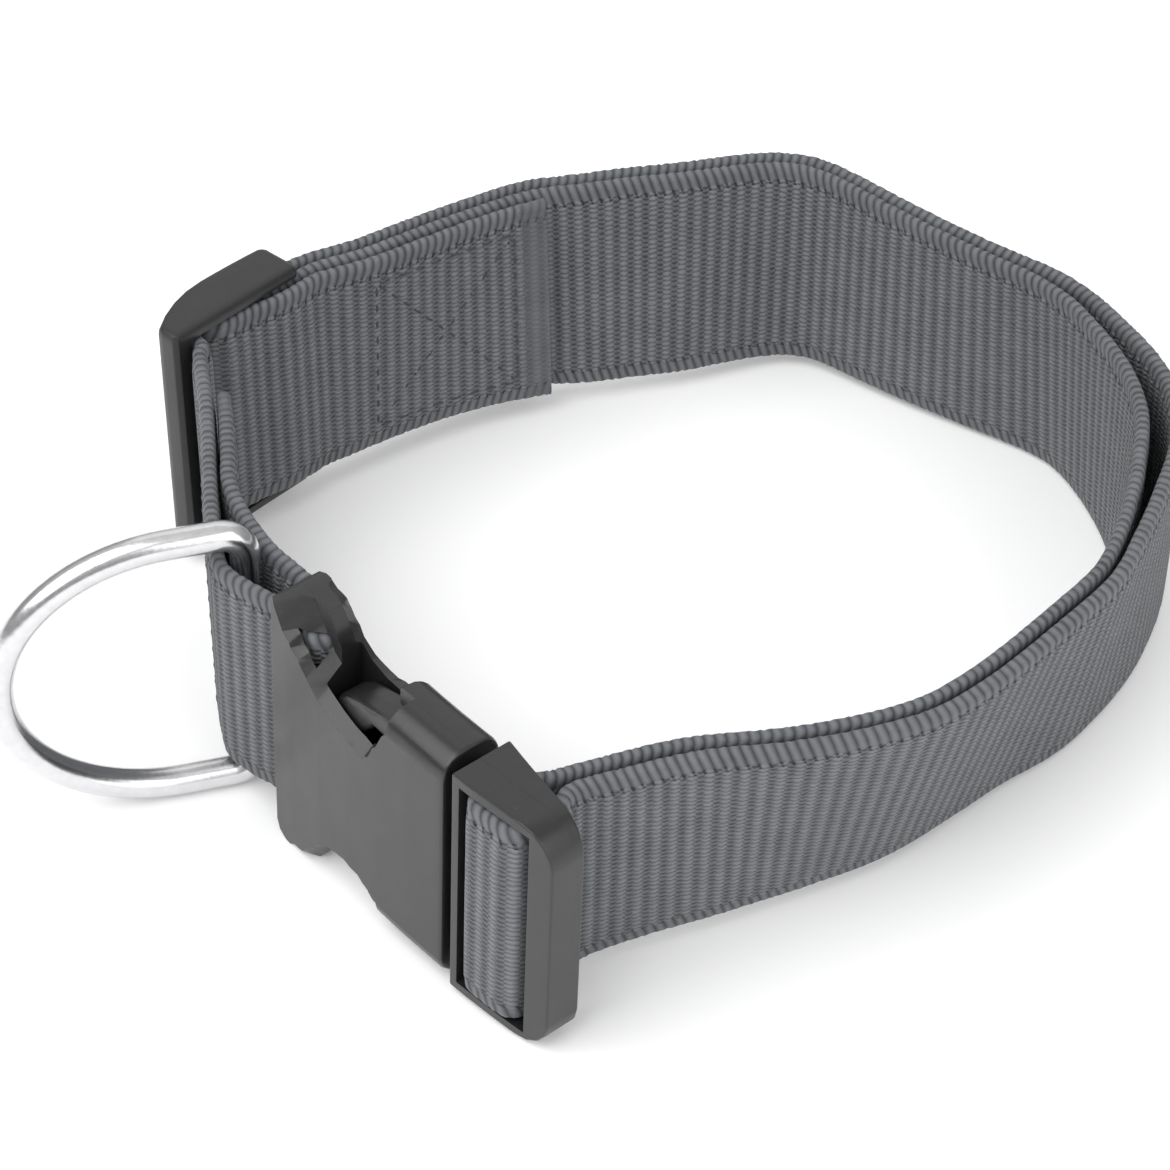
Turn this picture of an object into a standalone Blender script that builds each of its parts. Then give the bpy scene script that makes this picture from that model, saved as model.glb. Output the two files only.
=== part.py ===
# Dog collar of doubled webbing with a side-release buckle, a strap slider and a leash ring
#
# The collar stands on its lower edge, as it does on a table. X runs to the right, Y away from the
# buckle side and Z up. Plan sizes below are millimetres and are turned into metres when meshes are made.
# The strap is one length of webbing: it starts as a flap sewn inside the slider, runs round as the inner
# layer, wraps the male buckle's bar, comes back as the outer layer over the slider, and ends round the
# female buckle's bar, with the ring caught between its last two layers.

import math

import bmesh
import bpy
from mathutils import Matrix, Vector

MM = 0.001
BOW_STEP = 2.5          # spacing of the cuts where a buckle mesh may bend

# Webbing
WEB_WIDTH = 25.0
WEB_THICKNESS = 1.5
LAYER_GAP = 0.35        # between two layers that lie on each other
FIT_GAP = 0.3           # between webbing and the plastic it passes
EDGE_ROUND = 0.45       # height of the rounded selvedge
FLAP_LENGTH = 29.5      # sewn end inside the slider
TAIL_LENGTH = 33.0      # sewn end beside the ring

# The loop, from the slider round to the male buckle
LOOP_WIDTH = 98.0
LOOP_DEPTH = 104.0

# Female half of the buckle: lengths run along the buckle, heights are half widths
BUCKLE_TURN = -49.0     # degrees from X, seen from above
BUCKLE_DIP = 2.8        # degrees that the male end hangs below level
BUCKLE_BOW = 1.2        # how far the middle bulges, to suit a round neck
FEMALE_LENGTH = 26.5
THICKNESS = 6.8
BLOCK_THICKNESS = 5.4
BLOCK_RAIL = 3.1        # plastic above and below the webbing's pocket
MOUTH_HALF = 14.3
MOUTH_LENGTH = 10.1
MOUTH_ROUND = 2.6       # rounding along the mouth's upper and lower edges
MOUTH_WALL = 2.2
BLOCK_WALL = 1.4        # wall between the webbing's pocket and the side windows
PANEL_THICKNESS = 1.1   # front panel over the webbing
WAIST_LIP = 1.6         # depth of the slanted edge of each shallow waist
FEMALE_BAR_LENGTH = 2.0
FEMALE_BAR_THICKNESS = 1.7
ARM_THICKNESS = 3.6
ARM_CLEARANCE = 0.9     # between a sprung arm and the mouth's wall

# Male half of the buckle
SEAM = 1.1              # gap between the mouth and the male frame
MALE_WALL = 1.0
MALE_BAR_LENGTH = 3.9
MALE_BAR_THICKNESS = 2.4
MALE_END_BAR = 2.8
MALE_END_THICKNESS = 3.8
MALE_SETBACK = 0.2      # how much further back the frame's end lies than the bow takes it
FRAME_RAIL = 1.1
FRAME_CORNER = 3.9
WRAP_PROUD = 0.5        # how far the wrapped webbing stands out of the frame

# Slider
SLIDER_TURN = 48.0
SLIDER_LENGTH = 17.6
SLIDER_RAIL = 1.4
SLIDER_CROWN = 5.8      # thickness of the bowed rails at their middle
SLIDER_BAR_LENGTH = 3.9
SLIDER_BAR_THICKNESS = 1.6
SLIDER_END_BAR = 2.2
SLIDER_END_THICKNESS = 2.8
SLIDER_FAR_BAR_THICKNESS = 1.5

# Ring
WIRE = 3.0
RING_CLEARANCE = 0.9    # between the webbing's edge and the ring's arms
RING_LENGTH = 24.7      # from the bar's middle to the far wire's middle
RING_STRAIGHT = 7.5
RING_CORNER = 2.6
RING_TURN = 196.0       # the way the ring points, degrees from X

LAYER_STEP = WEB_THICKNESS + LAYER_GAP
HALF_WEB = WEB_THICKNESS / 2
SLOT_HALF = WEB_WIDTH / 2 + FIT_GAP
BLOCK_HALF = SLOT_HALF + BLOCK_RAIL
MOUTH_START = FEMALE_LENGTH - MOUTH_LENGTH
HARDWARE_MIDDLE = BLOCK_HALF                # height of the middle of buckle, slider and ring
FREE_MIDDLE = WEB_WIDTH / 2 + 0.1
FRAME_HALF = SLOT_HALF + FRAME_RAIL
LOOP_CENTRE = (0.08 * LOOP_WIDTH, 0.03 * LOOP_DEPTH)
BEYOND = 2.0                                # how far a cutter reaches out of what it cuts

# The middle of the inner layer, from behind the slider to the male buckle.
# Columns: x as a share of LOOP_WIDTH, y as a share of LOOP_DEPTH, flare in degrees (top edge outward),
# slack in millimetres between the inner and the outer layer beyond their usual gap.
LOOP_ROWS = (
    (-0.302, 0.306, 0.0, 0.0),
    (-0.235, 0.348, -2.5, 0.0),
    (-0.169, 0.392, -1.5, 0.0),
    (-0.104, 0.428, 1.0, 0.0),
    (-0.057, 0.450, 3.5, 0.0),
    (0.002, 0.461, 5.5, 0.0),
    (0.041, 0.473, 6.0, 0.0),
    (0.109, 0.488, 6.0, 0.0),
    (0.180, 0.511, 4.5, 0.0),
    (0.232, 0.519, 2.5, 0.0),
    (0.260, 0.512, 1.0, 0.0),
    (0.324, 0.465, -1.0, 0.0),
    (0.386, 0.419, -3.0, 0.0),
    (0.449, 0.376, -5.0, 0.1),
    (0.509, 0.332, -6.0, 0.4),
    (0.549, 0.255, -4.0, 1.0),
    (0.570, 0.180, -1.5, 1.7),
    (0.572, 0.110, 0.5, 1.9),
    (0.559, 0.052, 2.0, 1.4),
    (0.545, 0.002, 3.0, 0.7),
    (0.518, -0.059, 6.5, 0.1),
    (0.484, -0.112, 10.5, 0.0),
    (0.429, -0.165, 14.0, 0.0),
    (0.362, -0.231, 16.0, 0.0),
    (0.300, -0.282, 16.5, 0.0),
    (0.236, -0.313, 15.0, 0.0),
    (0.174, -0.336, 12.5, 0.0),
    (0.114, -0.354, 9.0, 0.0),
    (0.053, -0.374, 6.5, 0.0),
    (-0.002, -0.395, 4.0, 0.0),
)
# The outer layer down the left side, from the slider to the ring: x and y as the same shares.
LEFT_ROWS = (
    (-0.396, 0.150),
    (-0.386, 0.092),
    (-0.374, -0.015),
    (-0.365, -0.092),
)
# The shallow waist on each side of the female body, from the block to the mouth.
# Columns: place and half height of its edge at the outer face, then the same behind the slanted lip. Places
# are shares of FEMALE_LENGTH and half heights are shares of BLOCK_HALF.
WAIST_ROWS = (
    (0.090, 0.988, 0.120, 1.010),
    (0.150, 0.950, 0.170, 1.004),
    (0.200, 0.890, 0.215, 0.985),
    (0.245, 0.810, 0.250, 0.900),
    (0.290, 0.715, 0.290, 0.780),
    (0.360, 0.655, 0.360, 0.700),
    (0.450, 0.625, 0.450, 0.664),
    (0.530, 0.640, 0.530, 0.664),
    (0.590, 0.690, 0.590, 0.700),
)
# The deep curved edge of a thumb recess, front above and back below, in the same columns.
THUMB_ROWS = (
    (0.011, 0.994, 0.117, 1.030),
    (0.035, 0.870, 0.150, 0.955),
    (0.079, 0.765, 0.184, 0.865),
    (0.130, 0.700, 0.215, 0.780),
    (0.189, 0.640, 0.250, 0.710),
    (0.250, 0.560, 0.300, 0.655),
    (0.313, 0.484, 0.351, 0.618),
    (0.390, 0.435, 0.410, 0.585),
    (0.464, 0.403, 0.466, 0.559),
    (0.562, 0.371, 0.564, 0.541),
    (0.595, 0.430, 0.597, 0.560),
    (0.640, 0.570, 0.642, 0.640),
    (0.694, 0.742, 0.696, 0.760),
)
# The end of a sprung arm that a thumb squeezes, from the mouth round its tip and back.
# Columns: place as a share of FEMALE_LENGTH, height above the middle line as a share of MOUTH_HALF.
TAB_ROWS = (
    (0.530, 0.748),
    (0.450, 0.706),
    (0.385, 0.657),
    (0.335, 0.580),
    (0.312, 0.490),
    (0.318, 0.395),
    (0.360, 0.340),
    (0.470, 0.430),
    (0.550, 0.600),
)
BUCKLE_AT = (-0.302, -0.226)        # front of the female end, shares of the loop
SLIDER_AT = (-0.362, 0.227)         # middle of the slider's inner side, shares of the loop


def plan(shares):
    return Vector((shares[0] * LOOP_WIDTH, shares[1] * LOOP_DEPTH))


def bow(along):
    """How far the buckle bulges outward at a place along it."""
    share = min(max(along / male_end, 0.0), 1.0)
    frame_share = min(max((along - FEMALE_LENGTH) / (male_end - FEMALE_LENGTH), 0.0), 1.0)
    return BUCKLE_BOW * 4 * share * (1 - share) - MALE_SETBACK * frame_share ** 2


def blend(value, pairs):
    """Straight-line interpolation through (place, value) pairs in rising order of place."""
    if value <= pairs[0][0]:
        return pairs[0][1]
    for (x0, y0), (x1, y1) in zip(pairs, pairs[1:]):
        if value <= x1:
            return y0 + (y1 - y0) * (value - x0) / (x1 - x0)
    return pairs[-1][1]


class PlanFrame:
    """A frame in plan: along runs down the piece, out is the side that faces away from the neck."""

    def __init__(self, at, turn):
        angle = math.radians(turn)
        self.at = at
        self.turn = angle
        self.along = Vector((math.cos(angle), math.sin(angle)))

    def point(self, along, out):
        return self.at + self.along * along + self.out() * out


class BuckleFrame(PlanFrame):
    def out(self):
        return Vector((self.along.y, -self.along.x))

    def point(self, along, out):
        level = along * math.cos(math.radians(BUCKLE_DIP))
        return super().point(level, out + bow(along))

    def station(self, point):
        """How far along the buckle a plan point lies, and how near the buckle it is, from 0 to 1."""
        way = point - self.at
        along = way.dot(self.along) / math.cos(math.radians(BUCKLE_DIP))
        depth = abs(way.dot(self.out()))
        near = blend(along, ((-14.0, 0.0), (-1.0, 1.0), (male_end, 1.0), (male_end + 14.0, 0.0)))
        return along, near * blend(depth, ((12.0, 1.0), (20.0, 0.0)))


class SliderFrame(PlanFrame):
    def out(self):
        return Vector((-self.along.y, self.along.x))


buckle = BuckleFrame(plan(BUCKLE_AT), BUCKLE_TURN)
slider = SliderFrame(plan(SLIDER_AT), SLIDER_TURN)

# Depths behind the buckle's front face, all negative: outward is positive
female_front_layer = -(PANEL_THICKNESS + FIT_GAP + HALF_WEB)
female_bar_middle = female_front_layer - HALF_WEB - FIT_GAP - FEMALE_BAR_THICKNESS / 2
female_turn_radius = female_front_layer - female_bar_middle
female_back_layer = female_bar_middle - female_turn_radius
female_turn_at = FEMALE_BAR_LENGTH / 2 + 2.3
pocket_end = female_turn_at + female_turn_radius + HALF_WEB + FIT_GAP

male_start = FEMALE_LENGTH + SEAM
male_bar_start = male_start + MALE_WALL + WEB_THICKNESS + 2 * FIT_GAP
male_bar_end = male_bar_start + MALE_BAR_LENGTH
male_slot_end = male_bar_end + WEB_THICKNESS + 4 * FIT_GAP
male_end = male_slot_end + MALE_END_BAR
wrap_front = WRAP_PROUD - HALF_WEB
male_bar_middle = wrap_front - HALF_WEB - FIT_GAP - MALE_BAR_THICKNESS / 2

# Slider heights, measured outward from the inner side of its rails
slider_flap = 0.45
slider_bar_low = slider_flap + HALF_WEB + FIT_GAP
slider_bar_high = slider_bar_low + SLIDER_BAR_THICKNESS
slider_loop = slider_bar_high + FIT_GAP + HALF_WEB
slider_over = slider_loop + LAYER_STEP
slider_inside = -(FIT_GAP + HALF_WEB)       # webbing that passes inside the near end bar
slider_far_flap = -HALF_WEB                 # webbing that passes through the far end
slider_far_loop = slider_far_flap + LAYER_STEP
slider_far_outer = slider_far_loop + LAYER_STEP
slider_far_bar = slider_far_outer + HALF_WEB + FIT_GAP

ring_at = buckle.point(-8.0, female_bar_middle + 0.5)
ring_room = WIRE / 2 + LAYER_GAP + HALF_WEB
RING_HALF = WEB_WIDTH / 2 + RING_CLEARANCE + WIRE / 2


def smooth_line(points, step=0.2):
    """Evenly sampled centripetal Catmull-Rom curve through plan points."""
    line = [points[0] * 2 - points[1]] + list(points) + [points[-1] * 2 - points[-2]]
    out = []
    for i in range(1, len(line) - 2):
        p = line[i - 1:i + 3]
        knots = [0.0]
        for a, b in zip(p, p[1:]):
            knots.append(knots[-1] + max((b - a).length, 1e-6) ** 0.5)
        count = max(2, round((p[2] - p[1]).length / step))
        for k in range(count):
            t = knots[1] + (knots[2] - knots[1]) * k / count
            layer = list(p)
            for depth in (1, 2, 3):
                layer = [
                    layer[j] * ((knots[j + depth] - t) / (knots[j + depth] - knots[j]))
                    + layer[j + 1] * ((t - knots[j]) / (knots[j + depth] - knots[j]))
                    for j in range(len(layer) - 1)
                ]
            out.append(layer[0])
    out.append(points[-1])
    return out


def normals(line):
    """Unit normals of a plan line, to the left of its direction."""
    out = []
    for i in range(len(line)):
        way = line[min(i + 1, len(line) - 1)] - line[max(i - 1, 0)]
        way.normalize()
        out.append(Vector((-way.y, way.x)))
    return out


def lengths(line):
    out = [0.0]
    for a, b in zip(line, line[1:]):
        out.append(out[-1] + (b - a).length)
    return out


def turn_points(frame, centre, radius, start, end, count=6):
    """Points on an arc in a piece's frame: angles in degrees from along towards out."""
    out = []
    for k in range(count + 1):
        angle = math.radians(start + (end - start) * k / count)
        out.append(frame.point(centre[0] + radius * math.cos(angle), centre[1] + radius * math.sin(angle)))
    return out


def thin_out(line, spacing):
    """Every point about one spacing apart, keeping both ends."""
    out = [line[0]]
    for p in line[1:-1]:
        if (p - out[-1]).length >= spacing and (p - line[-1]).length >= spacing / 2:
            out.append(p)
    return out + [line[-1]]


def around(point):
    """The angle of a plan point round the loop, in degrees, from 0 to 360 against the clock."""
    way = point - Vector(LOOP_CENTRE)
    return math.degrees(math.atan2(way.y, way.x)) % 360.0


def flare_at(point):
    """Flare in degrees at a plan point. The hardware down the left side stands upright."""
    rows = sorted((around(plan(row)), row[2]) for row in LOOP_ROWS)
    rows = [(rows[-1][0] - 360.0, rows[-1][1])] + rows
    upright = (142.0, 256.0)
    angle = around(point)
    if upright[0] <= angle <= upright[1]:
        return 0.0
    rows = [row for row in rows if not upright[0] <= row[0] <= upright[1]]
    rows += [(upright[0], 0.0), (upright[1], 0.0)]
    return blend(angle, sorted(rows))


def middle_height(point):
    """Height of the webbing's middle line: held up by the hardware on the left, on the floor on the right."""
    sag = HARDWARE_MIDDLE - FREE_MIDDLE
    free = blend(point.x, (
        (-0.28 * LOOP_WIDTH, HARDWARE_MIDDLE),
        (0.0, HARDWARE_MIDDLE - 0.33 * sag),
        (0.5 * LOOP_WIDTH, FREE_MIDDLE),
    ))
    along, near = buckle.station(point)
    held = HARDWARE_MIDDLE - along * math.sin(math.radians(BUCKLE_DIP))
    return free + (held - free) * near


def strap_route():
    """The whole middle line of the webbing in plan, from the sewn flap to the sewn tail."""
    inner = smooth_line([plan(row) for row in LOOP_ROWS])
    side = normals(inner)
    run = lengths(inner)
    marks = [min(range(len(inner)), key=lambda i: (inner[i] - plan(row)).length) for row in LOOP_ROWS]
    slack = [(run[mark], row[3]) for mark, row in zip(marks, LOOP_ROWS)]

    # The inner layer rounds the flap's end and then lies where the flap lay
    outer = [p + n * (LAYER_STEP + blend(s, slack)) for p, n, s in zip(inner, side, run)]
    flap = [p - n * LAYER_STEP for p, n, s in zip(inner, side, run) if s < FLAP_LENGTH]

    edge = SLIDER_LENGTH / 2 - SLIDER_END_BAR
    flap_at_slider = [
        slider.point(edge + 1.2, slider_far_flap),
        slider.point(0.8 * edge, slider_far_flap + 0.1),
        slider.point(0.5 * edge, (slider_far_flap + slider_flap) / 2 - 0.1),
        slider.point(0.0, slider_flap),
    ]
    bar_turn = (slider_loop - slider_flap) / 2
    bar_turn_at = -SLIDER_BAR_LENGTH / 2 + bar_turn - HALF_WEB - FIT_GAP
    loop_turn = turn_points(slider, (bar_turn_at, slider_flap + bar_turn), bar_turn, 270.0, 90.0)
    loop_out = [
        slider.point(0.36 * edge, slider_loop - 0.48),
        slider.point(0.6 * edge, slider_far_loop + 1.1),
        slider.point(0.84 * edge, slider_far_loop + 0.2),
        slider.point(edge + 1.2, slider_far_loop),
    ]

    wrap_low = male_bar_middle - MALE_BAR_THICKNESS / 2
    wrap_turn = FIT_GAP + HALF_WEB + 0.35
    wrap_left = male_bar_start - FIT_GAP - HALF_WEB
    wrap_right = male_bar_end + FIT_GAP + HALF_WEB
    wrap = [
        buckle.point(wrap_left + 2.3, wrap_low - 3.6),
        buckle.point(wrap_left + 0.55, wrap_low - 1.3),
        buckle.point(wrap_left, wrap_low + 0.6),
    ]
    wrap += turn_points(buckle, (wrap_left + wrap_turn, wrap_front - wrap_turn), wrap_turn, 180.0, 90.0, 4)
    wrap += turn_points(buckle, (wrap_right - wrap_turn, wrap_front - wrap_turn), wrap_turn, 90.0, 0.0, 4)
    wrap += [
        buckle.point(wrap_right, wrap_low + 0.6),
        buckle.point(wrap_right - 0.4, wrap_low - 1.5),
        buckle.point(wrap_right - 1.5, wrap_low - 3.9),
    ]

    over_slider = [
        slider.point(edge + 1.2, slider_far_outer),
        slider.point(edge, slider_far_outer + 0.05),
        slider.point(0.66 * edge, (slider_far_outer + slider_over) / 2 - 0.1),
        slider.point(0.36 * edge, slider_over - 0.35),
        slider.point(0.0, slider_over),
        slider.point(-0.42 * edge, slider_over - 0.15),
        slider.point(-0.70 * edge, slider_bar_high + 0.6),
    ]
    over_slider += turn_points(slider, (-edge, 0.0), -slider_inside, 0.0, -90.0, 3)

    left = [plan(row) for row in LEFT_ROWS]
    ring_out = buckle.point(-8.0, female_bar_middle + 0.5 + ring_room)
    pocket = [
        buckle.point(-11.6, female_bar_middle + 1.5),
        ring_out,
        buckle.point(-3.8, female_front_layer + 0.75),
        buckle.point(0.0, female_front_layer),
    ]
    female_turn = turn_points(buckle, (female_turn_at, female_bar_middle), female_turn_radius, 90.0, -90.0, 8)
    tail = [
        buckle.point(0.0, female_back_layer),
        buckle.point(-4.0, female_back_layer - 0.15),
        buckle.point(-8.2, female_bar_middle + 0.5 - ring_room - 0.1),
    ]
    beside = smooth_line(list(reversed(left)))
    inside = [p - n * -LAYER_STEP for p, n in zip(beside, [-n for n in normals(beside)])]
    tail += thin_out([p for p in inside if p.y > left[-1].y + 6.0], 4.0)

    points = thin_out(list(reversed(flap)), 5.0) + flap_at_slider + loop_turn + loop_out
    points += thin_out(inner, 3.5) + wrap + thin_out(list(reversed(outer)), 3.5)
    points += over_slider + left + pocket + female_turn + tail
    route = smooth_line(points)
    tail_start = min(range(len(route)), key=lambda i: (route[i] - tail[0]).length)
    run = lengths(route)
    return [p for p, s in zip(route, run) if s <= run[tail_start] + TAIL_LENGTH]


def stations(route, longest=3.0, sharpest=18.0):
    """Points along the route, closer together where it bends."""
    out = [0]
    turned = 0.0
    run = lengths(route)
    for i in range(1, len(route) - 1):
        before = route[i] - route[i - 1]
        after = route[i + 1] - route[i]
        turned += abs(math.degrees(before.angle(after, 0.0)))
        if turned >= sharpest or run[i] - run[out[-1]] >= longest:
            out.append(i)
            turned = 0.0
    return out + [len(route) - 1]


def material(name, colour, roughness, metallic=0.0):
    mat = bpy.data.materials.new(name)
    mat.use_nodes = True
    shader = mat.node_tree.nodes["Principled BSDF"]
    shader.inputs["Base Color"].default_value = (*colour, 1.0)
    shader.inputs["Roughness"].default_value = roughness
    shader.inputs["Metallic"].default_value = metallic
    mat.diffuse_color = (*colour, 1.0)
    return mat


def new_object(name, mesh, collection, parent=None):
    obj = bpy.data.objects.new(name, mesh)
    collection.objects.link(obj)
    obj.parent = parent
    return obj


def strap(collection, parent):
    """The webbing, lofted through upright sections along its route."""
    route = strap_route()
    side = normals(route)
    mesh = bpy.data.meshes.new("strap")
    bm = bmesh.new()
    rings = []
    for i in stations(route):
        point, normal = route[i], side[i]
        angle = math.radians(flare_at(point))
        half = WEB_WIDTH / 2 * math.cos(angle)
        out = (point - Vector(LOOP_CENTRE)).normalized() * WEB_WIDTH / 2 * math.sin(angle)
        out += buckle.along * WEB_WIDTH / 2 * math.sin(math.radians(BUCKLE_DIP)) * buckle.station(point)[1]
        middle = middle_height(point)
        shoulder = 1.0 - EDGE_ROUND / half
        ring = []
        section = ((1, -shoulder), (1, shoulder), (0, 1.0), (-1, shoulder), (-1, -shoulder), (0, -1.0))
        for across, up in section:
            place = point + normal * HALF_WEB * across + out * up
            ring.append(bm.verts.new((place.x * MM, place.y * MM, (middle + half * up) * MM)))
        rings.append(ring)
    for low, high in zip(rings, rings[1:]):
        for k in range(len(low)):
            bm.faces.new((low[k], low[k - 1], high[k - 1], high[k]))
    bm.faces.new(rings[0])
    bm.faces.new(list(reversed(rings[-1])))
    bmesh.ops.recalc_face_normals(bm, faces=bm.faces)
    bm.to_mesh(mesh)
    bm.free()
    return new_object("strap", mesh, collection, parent)


def outline_mesh(name, splines, thickness):
    """A flat outline, with holes, given a thickness: a filled 2D curve made into a welded mesh."""
    curve = bpy.data.curves.new(name, "CURVE")
    curve.dimensions = "2D"
    curve.fill_mode = "BOTH"
    curve.extrude = thickness / 2 * MM
    for points in splines:
        spline = curve.splines.new("POLY")
        spline.points.add(len(points) - 1)
        for place, (x, y) in zip(spline.points, points):
            place.co = (x * MM, y * MM, 0.0, 1.0)
        spline.use_cyclic_u = True
    holder = bpy.data.objects.new(name, curve)
    bpy.context.scene.collection.objects.link(holder)
    bpy.context.view_layer.update()
    mesh = bpy.data.meshes.new_from_object(holder.evaluated_get(bpy.context.evaluated_depsgraph_get()))
    bpy.data.objects.remove(holder)
    bm = bmesh.new()
    bm.from_mesh(mesh)
    bmesh.ops.remove_doubles(bm, verts=bm.verts, dist=0.000001)
    bmesh.ops.dissolve_limit(bm, angle_limit=math.radians(0.5), verts=bm.verts, edges=bm.edges)
    bmesh.ops.recalc_face_normals(bm, faces=bm.faces)
    bm.to_mesh(mesh)
    bm.free()
    return mesh


def stand_up(mesh, depth):
    """Turn an outline from its XY plane to stand in XZ, its middle at the given depth in Y."""
    mesh.transform(Matrix.Translation((0.0, depth * MM, 0.0)) @ Matrix.Rotation(math.radians(90.0), 4, "X"))


def block_mesh(name, low, high):
    """A box between two corners."""
    mesh = bpy.data.meshes.new(name)
    bm = bmesh.new()
    bmesh.ops.create_cube(bm, size=1.0)
    for vert in bm.verts:
        for axis in range(3):
            middle = (low[axis] + high[axis]) / 2
            vert.co[axis] = (middle + vert.co[axis] * (high[axis] - low[axis])) * MM
    bm.to_mesh(mesh)
    bm.free()
    return mesh


def rounded_box(low, high, radius, corners=3):
    """A rounded rectangle in two coordinates, against the clock."""
    out = []
    for cx, cy, start in ((1, 0, -90.0), (1, 1, 0.0), (0, 1, 90.0), (0, 0, 180.0)):
        x = (high[0] - radius) if cx else (low[0] + radius)
        y = (high[1] - radius) if cy else (low[1] + radius)
        for k in range(corners + 1):
            angle = math.radians(start + 90.0 * k / corners)
            out.append((x + radius * math.cos(angle), y + radius * math.sin(angle)))
    return out


def bevel(obj, width, segments=2, angle=35.0):
    mod = obj.modifiers.new("rounded edges", "BEVEL")
    mod.width = width * MM
    mod.segments = segments
    mod.limit_method = "ANGLE"
    mod.angle_limit = math.radians(angle)


def boolean(obj, other, operation, cutters):
    """Cut or join with a helper object that stays hidden in the cutters' collection."""
    for collection in list(other.users_collection):
        collection.objects.unlink(other)
    cutters.objects.link(other)
    other.parent = obj.parent
    other.hide_render = True
    other.display_type = "WIRE"
    mod = obj.modifiers.new(other.name, "BOOLEAN")
    mod.operation = operation
    mod.solver = "EXACT"
    mod.object = other


def bowed(mesh, thickness_at=None):
    """Cut a buckle mesh across every few millimetres and lay it on the buckle's bow."""
    bm = bmesh.new()
    bm.from_mesh(mesh)
    start = min(vert.co.x for vert in bm.verts)
    end = max(vert.co.x for vert in bm.verts)
    cuts = max(1, round((end - start) / MM / BOW_STEP))
    for k in range(1, cuts):
        place = Vector((start + (end - start) * k / cuts, 0.0, 0.0))
        everything = bm.verts[:] + bm.edges[:] + bm.faces[:]
        bmesh.ops.bisect_plane(bm, geom=everything, plane_co=place, plane_no=(1.0, 0.0, 0.0))
    for vert in bm.verts:
        along = vert.co.x / MM
        share = thickness_at(along) / THICKNESS if thickness_at else 1.0
        vert.co.y = vert.co.y * share - bow(along) * MM
    bm.to_mesh(mesh)
    bm.free()
    return mesh


def plate(name, outline, low, high):
    """An outline, along the buckle and up, made solid between two depths behind the front face."""
    mesh = outline_mesh(name, [outline], high - low)
    stand_up(mesh, (low + high) / 2)
    return mesh


def scaled(rows, length, half, first=0):
    """Two neighbouring columns of a table of shares, turned into millimetres."""
    return [(row[first] * length, row[first + 1] * half) for row in rows]


def female_outline():
    """Side outline of the female body, with its two shallow waists."""
    upper = [(0.0, BLOCK_HALF - 1.6), (0.5, BLOCK_HALF - 0.5), (1.6, BLOCK_HALF)]
    upper += [(x, y) for x, y in scaled(WAIST_ROWS, FEMALE_LENGTH, BLOCK_HALF, 2) if y < BLOCK_HALF]
    upper += [(MOUTH_START, MOUTH_HALF - MOUTH_ROUND), (FEMALE_LENGTH - 1.0, MOUTH_HALF - MOUTH_ROUND)]
    return [(x, -y) for x, y in upper] + list(reversed(upper))


def lip_cutter(name, rows, side, back, lip):
    """A recess with a slanted edge, which runs from the table's outer column at the face to its inner column
    at the lip's depth. The same slant is carried on out of the body."""
    bm = bmesh.new()
    rings = []
    for depth in (-BEYOND, lip):
        share = depth / lip
        outer = scaled(rows, FEMALE_LENGTH, BLOCK_HALF)
        inner = scaled(rows, FEMALE_LENGTH, BLOCK_HALF, 2)
        line = [(x + (u - x) * share, y + (v - y) * share) for (x, y), (u, v) in zip(outer, inner)]
        line.insert(0, (line[0][0] - 0.2 * BEYOND, BLOCK_HALF + 2 * BEYOND))
        line.append((line[-1][0] + 0.2 * BEYOND, BLOCK_HALF + 2 * BEYOND))
        place = THICKNESS - depth if back else depth
        rings.append([bm.verts.new((x * MM, place * MM, side * y * MM)) for x, y in line])
    low, high = rings
    for k in range(len(low)):
        bm.faces.new((low[k], low[k - 1], high[k - 1], high[k]))
    bm.faces.new(low)
    bm.faces.new(list(reversed(high)))
    bmesh.ops.recalc_face_normals(bm, faces=bm.faces)
    bmesh.ops.triangulate(bm, faces=bm.faces)
    mesh = bpy.data.meshes.new(name)
    bm.to_mesh(mesh)
    bm.free()
    return bowed(mesh, female_thickness)


def female_thickness(along):
    return blend(along, ((0.0, BLOCK_THICKNESS), (0.5 * FEMALE_LENGTH, THICKNESS)))


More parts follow.
